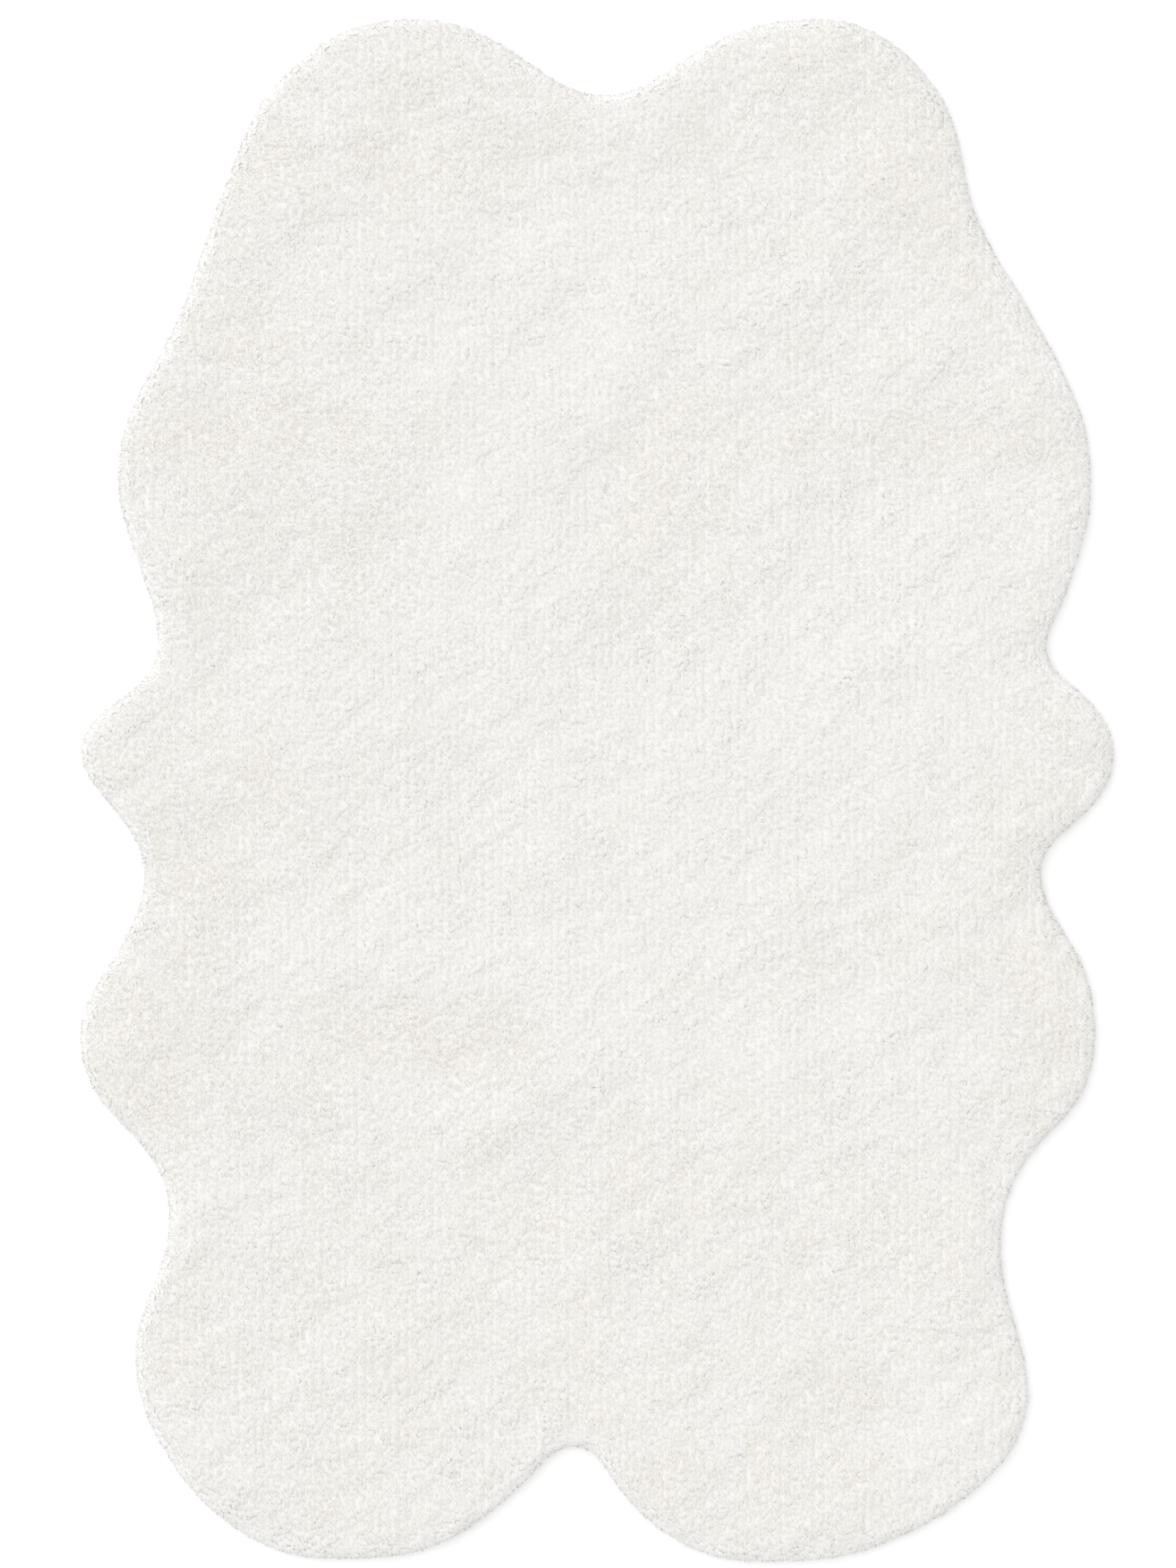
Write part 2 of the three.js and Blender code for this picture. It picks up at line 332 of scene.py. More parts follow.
class RugPileSettings(bpy.types.PropertyGroup):
    """Sizes of the backing, the under-wool and the tufts"""

    backing_thickness: FloatProperty(
        name="Backing thickness", description="Thickness of the backing cloth",
        default=0.0025, min=0.0005, unit="LENGTH", precision=4)
    bed_depth: FloatProperty(
        name="Bed depth", description="How deep the bed of under-wool lies below the pile's surface",
        default=0.0025, min=0.001, unit="LENGTH", precision=4)
    row_pitch: FloatProperty(
        name="Row pitch", description="Distance between two rows of tufts, which run along the rug",
        default=0.005, min=0.002, unit="LENGTH", precision=4)
    stitch_pitch: FloatProperty(
        name="Stitch pitch", description="Distance between two tufts of a row",
        default=0.005, min=0.002, unit="LENGTH", precision=4)
    row_pairing: FloatProperty(
        name="Row pairing", description="How far neighbouring rows draw together in pairs",
        default=0.0005, min=0, unit="LENGTH", precision=4)
    tuft_length: FloatProperty(
        name="Tuft length", description="Length of a tuft above the bed of under-wool",
        default=0.0078, min=0.002, unit="LENGTH", precision=4)
    tuft_radius: FloatProperty(
        name="Tuft radius", description="Radius of a tuft at its thickest",
        default=0.0045, min=0.0005, unit="LENGTH", precision=4)
    lump_height: FloatProperty(
        name="Lump height", description="Height of the small soft lumps of the pile",
        default=0.00085, min=0, unit="LENGTH", precision=4)
    clump_pitch: FloatProperty(
        name="Clump pitch", description="Distance between the clumps that neighbouring tips lean to",
        default=0.012, min=0.004, unit="LENGTH", precision=4)
    clump_pull: FloatProperty(
        name="Clump pull", description="How strongly tips lean to the middle of their clump",
        default=0.25, min=0, max=1, subtype="FACTOR")
    splay_width: FloatProperty(
        name="Splay width", description="Width of the band at the rim where the tufts lean outwards",
        default=0.03, min=0.005, unit="LENGTH", precision=3)
    seed: IntProperty(
        name="Seed", description="Start of the random numbers that make the tufts uneven",
        default=7, min=0)


class RugWoolSettings(bpy.types.PropertyGroup):
    """Colours and finish of the wool and of the backing"""

    clean_color: FloatVectorProperty(
        name="Clean wool", description="Colour of the whitest tufts",
        default=(0.885, 0.880, 0.869), min=0, max=1, size=3, subtype="COLOR")
    # Painted glow: a near-white colour for the rim's wool, standing in for the light that glows on the
    # rim and lightening its shaded side
    rim_glow_color: FloatVectorProperty(
        name="Fresh wool", description="Colour of the rim's whitest wool",
        default=(0.972, 0.973, 0.975), min=0, max=1, size=3, subtype="COLOR")
    # Partly painted shade: the creamy colour is also darker than clean wool, standing in for the shade
    # of the dull patches
    shaded_cream_color: FloatVectorProperty(
        name="Warm wool", description="Colour of the creamiest tufts",
        default=(0.860, 0.833, 0.783), min=0, max=1, size=3, subtype="COLOR")
    # Painted shade: the colour that the tufts darken to towards their roots, standing in for the shade
    # deep in the pile
    root_shade_color: FloatVectorProperty(
        name="Wool at the roots", description="Colour of the wool deep in the pile",
        default=(0.864, 0.850, 0.823), min=0, max=1, size=3, subtype="COLOR")
    bed_color: FloatVectorProperty(
        name="Under-wool", description="Colour of the bed of under-wool between the tufts",
        default=(0.876, 0.861, 0.835), min=0, max=1, size=3, subtype="COLOR")
    backing_color: FloatVectorProperty(
        name="Backing", description="Colour of the backing cloth",
        default=(0.72, 0.66, 0.55), min=0, max=1, size=3, subtype="COLOR")
    roughness: FloatProperty(
        name="Roughness", description="Roughness of the wool", default=0.95, min=0, max=1,
        subtype="FACTOR")
    sheen: FloatProperty(
        name="Sheen", description="Soft shine of the wool at grazing angles", default=0.25, min=0,
        max=1, subtype="FACTOR")


class RugStageSettings(bpy.types.PropertyGroup):
    """Floor, light and camera"""

    floor_color: FloatVectorProperty(
        name="Floor", description="Colour of the studio floor", default=(0.985, 0.985, 0.985), min=0,
        max=1, size=3, subtype="COLOR")
    floor_size: FloatProperty(
        name="Floor size", description="Side of the square floor", default=60, min=2, unit="LENGTH")
    dome_strength: FloatProperty(
        name="Dome strength", description="Strength of the even light from all round", default=0.64,
        min=0)
    top_strength: FloatProperty(
        name="Top strength", description="Strength of the far soft lamp straight above",
        default=0.91, min=0)
    key_strength: FloatProperty(
        name="Key strength", description="Strength of the far soft lamp at the upper left",
        default=0.92, min=0)
    lamp_spread: FloatProperty(
        name="Lamp spread", description="Angle over which each far lamp spreads", default=1.3, min=0,
        unit="ROTATION")
    bounces: IntProperty(
        name="Bounces", description="How often light bounces in the white wool", default=10, min=0)
    lens: FloatProperty(
        name="Lens", description="Focal length of the camera", default=85, min=10, unit="CAMERA")
    camera_height: FloatProperty(
        name="Camera height", description="Height of the camera over the floor", default=4.39,
        min=0.5, unit="LENGTH")
    aim: FloatVectorProperty(
        name="Aim", description="Point of the rug under the camera", default=(-0.010, 0.0075),
        size=2, subtype="XYZ")


# Modelling helpers


def work_on(obj):
    """Makes an object the only selected one and the active one."""
    bpy.ops.object.select_all(action="DESELECT")
    obj.select_set(True)
    bpy.context.view_layer.objects.active = obj


@contextmanager
def edit_mode():
    """Edit mode of the active object, for the lines of a with block."""
    bpy.ops.object.mode_set(mode="EDIT")
    yield
    bpy.ops.object.mode_set(mode="OBJECT")


def slab_copy(name):
    """A merged copy of the frame's pile slab, alone selected."""
    obj = bpy.data.objects.new(name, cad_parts[SLAB].data.copy())
    obj.data.name = name
    obj.data.materials.clear()
    bpy.context.scene.collection.objects.link(obj)
    work_on(obj)
    with edit_mode():
        bpy.ops.mesh.select_all(action="SELECT")
        bpy.ops.mesh.remove_doubles(threshold=MERGE_DISTANCE)
    return obj


def select_only(obj, kind, chosen):
    """Selects points or faces of an object for edit mode: chosen holds one truth value for each."""
    for part in SELECT_MODES:
        items = getattr(obj.data, part)
        items.foreach_set("select", chosen if part == kind else np.zeros(len(items), bool))
    bpy.context.tool_settings.mesh_select_mode = SELECT_MODES[kind]


def delete_faces(obj, chosen):
    select_only(obj, "polygons", chosen)
    with edit_mode():
        bpy.ops.mesh.delete(type="FACE")


def underside_faces(obj):
    """Which faces lie flat on the floor."""
    heights = np.array([face.center.z for face in obj.data.polygons])
    facing = np.array([face.normal.z for face in obj.data.polygons])
    return (heights < UNDERSIDE_HEIGHT) & (facing < UNDERSIDE_FACING)


def apply_modifier(obj, kind, **values):
    """Adds a modifier with these values and applies it."""
    modifier = obj.modifiers.new(kind.title(), kind)
    for key, value in values.items():
        setattr(modifier, key, value)
    work_on(obj)
    bpy.ops.object.modifier_apply(modifier=modifier.name)


def finish_piece(obj, material, *, stands_for_slab=False):
    """Gives a piece its material, rides it on the rug's body and smooths its shading."""
    obj.data.materials.append(material)
    obj.data.polygons.foreach_set("use_smooth", np.ones(len(obj.data.polygons), bool))
    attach(obj, BODY)
    if stands_for_slab:
        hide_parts(SLAB)
    return obj


def soft_field(cell, rng, heading=0, stretch=1):
    """Soft lumps from -1 to 1 of the given cell size, as a function of arrays of places. They may be
    stretched along a heading in degrees."""
    count = math.ceil(2 * NOISE_REACH / cell) + 2
    lattice = rng.uniform(-1, 1, (count, count))
    cosine, sine = math.cos(math.radians(heading)), math.sin(math.radians(heading))

    def value(x, y):
        u = ((x * cosine + y * sine) / stretch + NOISE_REACH) / cell
        v = (y * cosine - x * sine + NOISE_REACH) / cell
        i, j = u.astype(int), v.astype(int)
        s, t = (f * f * (3 - 2 * f) for f in (u - i, v - j))
        near = lattice[i, j] * (1 - s) + lattice[i + 1, j] * s
        far = lattice[i, j + 1] * (1 - s) + lattice[i + 1, j + 1] * s
        return near * (1 - t) + far * t

    return value


def soft_layers(x, y, layers, rng):
    """Layers of soft noise at arrays of places, added up."""
    return sum(share * soft_field(cell, rng)(x, y) for cell, share in layers)


def soft_step(low, high, value):
    """A smooth rise from 0 at low to 1 at high."""
    t = np.clip((value - low) / (high - low), 0, 1)
    return t * t * (3 - 2 * t)


def pile_lumps(pile, rng):
    """Small lumps, brushed ridges and furrows of the pile, as a function of arrays of places."""
    lumps = soft_field(LUMP_CELL, rng)
    slanted = [soft_field(cell, rng, SLANT_HEADING, RIDGE_STRETCH) for cell in RIDGE_CELLS]
    level = [soft_field(cell, rng, LEVEL_HEADING, RIDGE_STRETCH) for cell in RIDGE_CELLS]
    patches, wander = soft_field(FURROW_PATCH, rng), soft_field(FURROW_WANDER_CELL, rng)

    def height(x, y):
        share = soft_step(*LEVEL_ABOVE, y) * soft_step(*LEVEL_LEFT_OF, x)
        ridges = sum((1 - share) * a(x, y) + share * b(x, y) for a, b in zip(slanted, level))
        waves = np.cos(math.tau * x / FURROW_PITCH + FURROW_WANDER * wander(x, y))
        furrows = FURROW_SHARE * waves * np.clip(patches(x, y) + FURROW_MORE, 0, 1)
        return pile.lump_height * (LUMP_SHARE * lumps(x, y) + ridges + furrows)

    return height


def slope_of(height, x, y):
    """The slope of a height function at arrays of places, as flat vectors."""
    across = height(x + SLOPE_STEP, y) - height(x - SLOPE_STEP, y)
    along = height(x, y + SLOPE_STEP) - height(x, y - SLOPE_STEP)
    return np.column_stack([across, along, np.zeros(len(x))]) / (2 * SLOPE_STEP)


def unit(vectors):
    return vectors / np.linalg.norm(vectors, axis=-1, keepdims=True)


def rim_curve(step, shift=0):
    """Evenly spaced points of the underside's edge, moved on by a share of a step, and the direction
    out of the rug at each."""
    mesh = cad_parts[SLAB].data
    points = np.empty(len(mesh.vertices) * 3)
    mesh.vertices.foreach_get("co", points)
    points = points.reshape(-1, 3)
    ring = np.unique(points[points[:, 2] < UNDERSIDE_HEIGHT][:, :2].round(6), axis=0)
    ring = ring[np.argsort(np.arctan2(ring[:, 1], ring[:, 0]))]
    ring = np.vstack([ring, ring[:1]])
    along = np.concatenate([[0], np.cumsum(np.linalg.norm(np.diff(ring, axis=0), axis=1))])
    count = int(along[-1] // step)
    at = (np.arange(count) + shift) * along[-1] / count
    places = np.column_stack([np.interp(at, along, ring[:, 0]), np.interp(at, along, ring[:, 1])])
    ahead = np.roll(places, -EDGE_REACH, axis=0) - np.roll(places, EDGE_REACH, axis=0)
    return places, unit(np.column_stack([ahead[:, 1], -ahead[:, 0]]))


# Wool, canvas and floor materials


def new_group(name, inputs, outputs):
    """A shader node group with these sockets, and its input and output nodes."""
    group = bpy.data.node_groups.new(name, "ShaderNodeTree")
    for socket, kind, value in inputs:
        made = group.interface.new_socket(socket, in_out="INPUT", socket_type=kind)
        if value is not None:
            made.default_value = value
    for socket, kind in outputs:
        group.interface.new_socket(socket, in_out="OUTPUT", socket_type=kind)
    return group, group.nodes.new("NodeGroupInput"), group.nodes.new("NodeGroupOutput")


def add_mix(tree, factor, low, high):
    """The colour from a new mix node. Each input is an output socket, or a plain value."""
    node = tree.nodes.new("ShaderNodeMix")
    node.data_type = "RGBA"
    sockets = (node.inputs["Factor"], node.inputs[6], node.inputs[7])
    for socket, value in zip(sockets, (factor, low, high)):
        if isinstance(value, bpy.types.NodeSocket):
            tree.links.new(value, socket)
        else:
            socket.default_value = value
    return node.outputs[2]


def wool_shade_group():
    """Wool from clean to creamy by its tint, the creamy end also darker as painted shade, towards the
    colour at its roots, which on the tufts is painted shade deep in the pile, and turning to a painted
    near-white glow where its tint is below 0."""
    name = "Wool shade"
    if name in bpy.data.node_groups:
        return bpy.data.node_groups[name]
    color = "NodeSocketColor"
    group, into, out = new_group(
        name,
        [("Tint", "NodeSocketFloat", 0.5), ("Rise", "NodeSocketFloat", 1.0), ("Clean", color, None),
         ("Warm", color, None), ("Root", color, None), ("Fresh", color, None)],
        [("Color", color)],
    )
    # The creamy end of the tint is also darker, painted shade for the dull patches
    body = add_mix(group, into.outputs["Tint"], into.outputs["Clean"], into.outputs["Warm"])
    # Painted shade: on the tufts the colour darkens towards the root colour low down, standing in for
    # the shade deep in the pile
    shade = add_mix(group, into.outputs["Rise"], into.outputs["Root"], body)
    # Painted glow: where the tint is below 0 the wool turns towards the near-white glow colour
    below = group.nodes.new("ShaderNodeMath")
    below.operation = "MULTIPLY"
    below.use_clamp = True
    group.links.new(into.outputs["Tint"], below.inputs[0])
    below.inputs[1].default_value = -1
    glowing = add_mix(group, below.outputs[0], shade, into.outputs["Fresh"])
    group.links.new(glowing, out.inputs["Color"])
    return group


def fibre_grain_group():
    """Fine ridges of the single fibres, drawn out along a map's second direction."""
    name = "Fibre grain"
    if name in bpy.data.node_groups:
        return bpy.data.node_groups[name]
    group, into, out = new_group(
        name,
        [("Map", "NodeSocketVector", None), ("Repeat", "NodeSocketVector", (1, 1, 1))],
        [("Height", "NodeSocketFloat")],
    )
    stretch = group.nodes.new("ShaderNodeVectorMath")
    stretch.operation = "MULTIPLY"
    group.links.new(into.outputs["Map"], stretch.inputs[0])
    group.links.new(into.outputs["Repeat"], stretch.inputs[1])
    noise = group.nodes.new("ShaderNodeTexNoise")
    noise.inputs["Scale"].default_value = 1
    noise.inputs["Detail"].default_value = FIBRE_DETAIL
    group.links.new(stretch.outputs[0], noise.inputs["Vector"])
    group.links.new(noise.outputs["Fac"], out.inputs["Height"])
    return group


def place_group(tree, group):
    node = tree.nodes.new("ShaderNodeGroup")
    node.node_tree = group
    return node


def new_material(name):
    """A node material, its tree and its Principled shader."""
    material = bpy.data.materials.new(name)
    material.use_nodes = True
    return material, material.node_tree, material.node_tree.nodes["Principled BSDF"]


def set_inputs(node, values):
    for socket, value in values.items():
        node.inputs[socket].default_value = value


def finish_wool(shader, wool):
    """The soft, nearly dull finish of all the wool."""
    set_inputs(shader, {
        "Roughness": wool.roughness,
        "Specular IOR Level": WOOL_SPECULAR,
        "Sheen Weight": wool.sheen,
        "Sheen Roughness": SHEEN_ROUGHNESS,
        "Sheen Tint": SHEEN_TINT,
    })


def add_wool_shade(tree, wool, root):
    """The wool's shade in a material, with this colour at the roots."""
    node = place_group(tree, wool_shade_group())
    colors = {
        "Clean": wool.clean_color, "Warm": wool.shaded_cream_color, "Root": root, "Fresh": wool.rim_glow_color}
    set_inputs(node, {socket: (*color, 1) for socket, color in colors.items()})
    return node


def add_bump(tree, shader, height, strength, distance):
    bump = tree.nodes.new("ShaderNodeBump")
    set_inputs(bump, {"Strength": strength, "Distance": distance})
    tree.links.new(height, bump.inputs["Height"])
    tree.links.new(bump.outputs["Normal"], shader.inputs["Normal"])


def tuft_wool(wool):
    """Wool of the tufts: tint and rise come with each tuft, and its fibres run along it."""
    name = "tuft_wool"
    if name in bpy.data.materials:
        return bpy.data.materials[name]
    material, tree, shader = new_material(name)
    shade = add_wool_shade(tree, wool, wool.root_shade_color)
    for attribute, socket in (("tint", "Tint"), ("rise", "Rise")):
        node = tree.nodes.new("ShaderNodeAttribute")
        node.attribute_name = attribute
        tree.links.new(node.outputs["Fac"], shade.inputs[socket])
    tree.links.new(shade.outputs["Color"], shader.inputs["Base Color"])
    place = tree.nodes.new("ShaderNodeUVMap")
    place.uv_map = FIBRE_MAP
    grain = place_group(tree, fibre_grain_group())
    grain.inputs["Repeat"].default_value = TUFT_FIBRES
    tree.links.new(place.outputs["UV"], grain.inputs["Map"])
    add_bump(tree, shader, grain.outputs["Height"], *TUFT_BUMP)
    finish_wool(shader, wool)
    return material


def bed_wool(wool):
    """Matted under-wool between the tufts."""
    material, tree, shader = new_material("bed_wool")
    place = tree.nodes.new("ShaderNodeTexCoord")
    grain = place_group(tree, fibre_grain_group())
    grain.inputs["Repeat"].default_value = BED_FIBRES
    tree.links.new(place.outputs["Object"], grain.inputs["Map"])
    shade = add_wool_shade(tree, wool, wool.bed_color)
    tree.links.new(grain.outputs["Height"], shade.inputs["Tint"])
    shade.inputs["Rise"].default_value = BED_RISE
    tree.links.new(shade.outputs["Color"], shader.inputs["Base Color"])
    add_bump(tree, shader, grain.outputs["Height"], *BED_BUMP)
    finish_wool(shader, wool)
    return material


def backing_canvas(wool):
    """Plain woven backing: threads across and along, a little uneven."""
    material, tree, shader = new_material("backing_canvas")
    place = tree.nodes.new("ShaderNodeTexCoord")
    threads = []
    for direction in ("X", "Y"):
        wave = tree.nodes.new("ShaderNodeTexWave")
        wave.bands_direction = direction
        set_inputs(wave, {
            "Scale": THREAD_SCALE, "Distortion": THREAD_UNEVEN, "Detail Scale": THREAD_DETAIL})
        tree.links.new(place.outputs["Object"], wave.inputs["Vector"])
        threads.append(wave.outputs["Fac"])
    weave = tree.nodes.new("ShaderNodeMath")
    weave.operation = "MAXIMUM"
    for thread, socket in zip(threads, weave.inputs):
        tree.links.new(thread, socket)
    light = (*wool.backing_color, 1)
    dark = (*(THREAD_SHADE * part for part in wool.backing_color), 1)
    color = add_mix(tree, weave.outputs[0], dark, light)
    tree.links.new(color, shader.inputs["Base Color"])
    add_bump(tree, shader, weave.outputs[0], *CANVAS_BUMP)
    set_inputs(shader, {"Roughness": CANVAS_ROUGHNESS, "Specular IOR Level": CANVAS_SPECULAR})
    return material


def floor_paper(color):
    """Dull paper without any shine."""
    material, _, shader = new_material("floor_paper")
    set_inputs(shader, {"Base Color": (*color, 1), "Roughness": 1, "Specular IOR Level": 0})
    return material


# Backing and bed


def make_backing(pile, wool):
    """The backing cloth, the slab's flat underside given its thickness upwards, with its flat size
    and its area."""
    obj = slab_copy("backing_cloth")
    delete_faces(obj, ~underside_faces(obj))
    area = sum(face.area for face in obj.data.polygons)
    spread = obj.dimensions.copy()
    apply_modifier(obj, "SOLIDIFY", thickness=pile.backing_thickness, offset=-1)
    finish_piece(obj, backing_canvas(wool))
    return obj, (spread.x, spread.y), area


def make_bed(pile, wool):
    """The dense under-wool: the slab with its top let down, its rim filled out and rounded off, and
    its bottom closed on the backing."""
    obj = slab_copy(BED_PIECE)
    delete_faces(obj, underside_faces(obj))
    apply_modifier(obj, "SUBSURF", levels=1, render_levels=1)
    inset, _ = rim_inset([vertex.co for vertex in obj.data.vertices])
    steep = inset < BED_TOP_INSET
    select_only(obj, "vertices", ~steep)
    with edit_mode():
        bpy.ops.transform.translate(value=(0, 0, -pile.bed_depth))
    select_only(obj, "vertices", steep)
    with edit_mode():
        bpy.ops.transform.shrink_fatten(value=RIM_FILL)
        bpy.ops.mesh.vertices_smooth(factor=RIM_SMOOTHING, repeat=RIM_SMOOTHINGS)
        bpy.context.tool_settings.mesh_select_mode = SELECT_MODES["edges"]
        bpy.ops.mesh.select_all(action="DESELECT")
        bpy.ops.mesh.select_non_manifold()
        bpy.ops.transform.resize(value=(1, 1, 0), center_override=(0, 0, pile.backing_thickness))
        bpy.ops.mesh.edge_face_add()
    select_only(obj, "vertices", np.array([vertex.co.z < FLOOR_GAP for vertex in obj.data.vertices]))
    with edit_mode():
        bpy.ops.transform.resize(value=(1, 1, 0), center_override=(0, 0, FLOOR_GAP))
        bpy.ops.mesh.select_all(action="SELECT")
        bpy.ops.mesh.quads_convert_to_tris()
        bpy.ops.mesh.normals_make_consistent(inside=False)
    return finish_piece(obj, bed_wool(wool), stands_for_slab=True)


# Tufts


def add_puff():
    """Starts a tuft with a fluffy dome, an open cone that smooth shading rounds."""
    bpy.ops.mesh.primitive_cone_add(
        vertices=PUFF_SIDES, radius1=1, radius2=0, depth=PUFF_TIP - PUFF_FOOT, end_fill_type="NOTHING",
        location=(0, 0, (PUFF_TIP + PUFF_FOOT) / 2))


def add_strand(style, turn):
    """Adds a loose strand at this turn, in degrees, round the tuft's back, which is +Y."""
    half = (STRAND_TIP - STRAND_FOOT) / 2
    bpy.ops.mesh.primitive_circle_add(
        vertices=4, radius=half, fill_type="NGON", location=(0, style.reach, STRAND_FOOT + half),
        rotation=(-math.pi / 2, 0, 0))
    bpy.ops.transform.resize(value=(style.width / (2 * half), 1, 1))
    bpy.ops.transform.rotate(value=math.radians(turn), orient_axis="Z", center_override=(0, 0, 0))


def tuft_shape(style):
    """One tuft of unit size and of this style, read into arrays."""
    mesh = bpy.data.meshes.new("tuft")
    obj = bpy.data.objects.new("tuft", mesh)
    bpy.context.scene.collection.objects.link(obj)
    work_on(obj)
    with edit_mode():
        if style.puff:
            add_puff()
        for turn in style.turns:
            bpy.ops.mesh.select_all(action="DESELECT")
            add_strand(style, turn)
    points = np.array([vertex.co for vertex in mesh.vertices])
    corners = np.array([loop.vertex_index for loop in mesh.loops])
    starts = np.array([face.loop_start for face in mesh.polygons])
    island = np.zeros(len(points), int)
    strands = [face for face in mesh.polygons if len(face.vertices) == 4]
    for i, face in enumerate(strands):
        island[list(face.vertices)] = i + 1
    across, along = points[:, 0] / 2 + 0.5, points[:, 1] / 2 + 0.5
    for i in range(len(strands)):
        mine = island == i + 1
        middle = points[mine, :2].mean(0)
        edge = points[mine, :2][np.argmax(points[mine, 0])] - middle
        across[mine] = (points[mine, :2] - middle) @ edge / (2 * edge @ edge) + 0.5
        along[mine] = (points[mine, 2] - STRAND_FOOT) / (STRAND_TIP - STRAND_FOOT)
    rise = np.where(island == 0, (points[:, 2] - PUFF_FOOT) / (PUFF_TIP - PUFF_FOOT), along)
    lean = np.where(island == 0, PUFF_LEAN, 1)
    inner = 1 - 2 * BAKE_MARGIN
    bake_uv = np.column_stack([island + BAKE_MARGIN + inner * across, BAKE_MARGIN + inner * along])
    bake_uv = bake_uv / (1 + len(style.turns), 1)
    fibres = np.where(island == 0, PUFF_FIBRES, 1)
    fibre_uv = np.column_stack([PART_STEP * island + fibres * across, along])
    bpy.data.objects.remove(obj)
    bpy.data.meshes.remove(mesh)
    return TuftShape(points, corners, starts, island, rise, lean, bake_uv[corners], fibre_uv[corners])


def tuft_points(shape, tufts):
    """The points of every tuft: the unit tuft carried along each tuft's own bent line."""
    t = (shape.points[None, :, 2] * tufts.uneven[:, shape.island])[..., None]
    length = tufts.length[:, None, None]
    up = tufts.normal[:, None]
    lean = shape.lean[None, :, None]
    start = up + lean * (tufts.start[:, None] - up)
    bend = lean * tufts.bend[:, None]
    line = tufts.root[:, None] + length * (t * start + t * t * bend)
    along = unit(start + 2 * t * bend)
    side = np.cross(up, along) + SIDE_SHARE * tufts.side[:, None]
    side = unit(side - along * np.sum(side * along, axis=-1, keepdims=True))
    back = np.cross(along, side)
    angle = tufts.twist[:, None]
    x = shape.points[:, 0] * np.cos(angle) - shape.points[:, 1] * np.sin(angle)
    y = shape.points[:, 0] * np.sin(angle) + shape.points[:, 1] * np.cos(angle)
    flank = x[..., None] * side + y[..., None] * back
    points = line + tufts.radius[:, None, None] * flank
    points[..., 2] = np.maximum(points[..., 2], FLOOR_GAP)
    return points


def joined_tufts(name, shape, tufts, material):
    """All the tufts as one mesh piece, with their tint, rise and maps."""
    count, per_tuft = len(tufts.root), len(shape.points)
    index = np.arange(count)[:, None]
    mesh = bpy.data.meshes.new(name)
    mesh.vertices.add(count * per_tuft)
    mesh.vertices.foreach_set("co", tuft_points(shape, tufts).ravel())
    mesh.loops.add(count * len(shape.corners))
    mesh.loops.foreach_set("vertex_index", (shape.corners[None] + per_tuft * index).ravel())
    mesh.polygons.add(count * len(shape.starts))
    starts = shape.starts[None] + len(shape.corners) * index
    mesh.polygons.foreach_set("loop_start", starts.ravel())
    mesh.update(calc_edges=True)
    side = math.ceil(math.sqrt(count))
    cell = np.column_stack([index % side, index // side])[:, None]
    maps = ((BAKE_MAP, (cell + shape.bake_uv[None]) / side),
            (FIBRE_MAP, shape.fibre_uv[None] + TUFT_STEP * cell))
    for title, values in maps:
        mesh.uv_layers.new(name=title).uv.foreach_set("vector", values.ravel())
    rise = np.broadcast_to(shape.rise, (count, per_tuft))
    tint = np.broadcast_to(tufts.tint[:, None], (count, per_tuft))
    for title, values in (("rise", rise), ("tint", tint)):
        mesh.attributes.new(title, "FLOAT", "POINT").data.foreach_set("value", values.ravel())
    obj = bpy.data.objects.new(name, mesh)
    bpy.context.scene.collection.objects.link(obj)
    return finish_piece(obj, material, stands_for_slab=True)


def rim_inset(points):
    """How far points lie inside the underside's edge, and the way out of the rug from each."""
    places, out = rim_curve(EDGE_STEP)
    nearest = KDTree(len(places))
    for i, place in enumerate(places):
        nearest.insert((*place, 0), i)
    nearest.balance()
    found = np.array([nearest.find((*point[:2], 0))[1] for point in points])
    apart = places[found] - np.array(points)[:, :2]
    return np.sum(apart * out[found], axis=1), out[found]


def bed_tree(bed):
    return BVHTree.FromObject(bed, bpy.context.evaluated_depsgraph_get())


def bed_normal(bed, place, face):
    """The bed's normal at a place on one of its faces, blended between the face's corners."""
    around = [bed.data.vertices[i] for i in bed.data.polygons[face].vertices]
    shares = poly_3d_calc([vertex.co for vertex in around], place)
    return sum((share * vertex.normal for share, vertex in zip(shares, around)), Vector())


def field_roots(bed, pile, rng):
    """Roots of the tufts that stand on the bed in rows, with the bed's normal at each, how far inside
    the underside's edge it is and the way out of the rug."""
    low, high = (np.array(corner)[:2] for corner in CAD_BOX)
    rows = np.arange(low[0], high[0], pile.row_pitch)
    stitches = np.arange(low[1], high[1], pile.stitch_pitch)
    grids = np.meshgrid(np.arange(len(rows)), np.arange(len(stitches)))
    row, stitch = (grid.ravel() for grid in grids)
    x = rows[row] + pile.row_pairing * np.where(row % 2, 1, -1)
    y = stitches[stitch] + pile.stitch_pitch * 0.5 * (row % 2)
    x = x + rng.normal(0, ROW_STRAY * pile.row_pitch, len(x))
    y = y + rng.normal(0, STITCH_STRAY * pile.stitch_pitch, len(y))
    inset, outward = rim_inset(np.column_stack([x, y]))
    tree = bed_tree(bed)
    down = Vector((0, 0, -1))
    inside = np.flatnonzero(inset > FIELD_INSET)
    roots, normals = [], []
    for i in inside:
        hit, _, face, _ = tree.ray_cast(Vector((x[i], y[i], 1)), down)
        roots.append(hit)
        normals.append(bed_normal(bed, hit, face))
    return np.array(roots), unit(np.array(normals)), inset[inside], outward[inside]


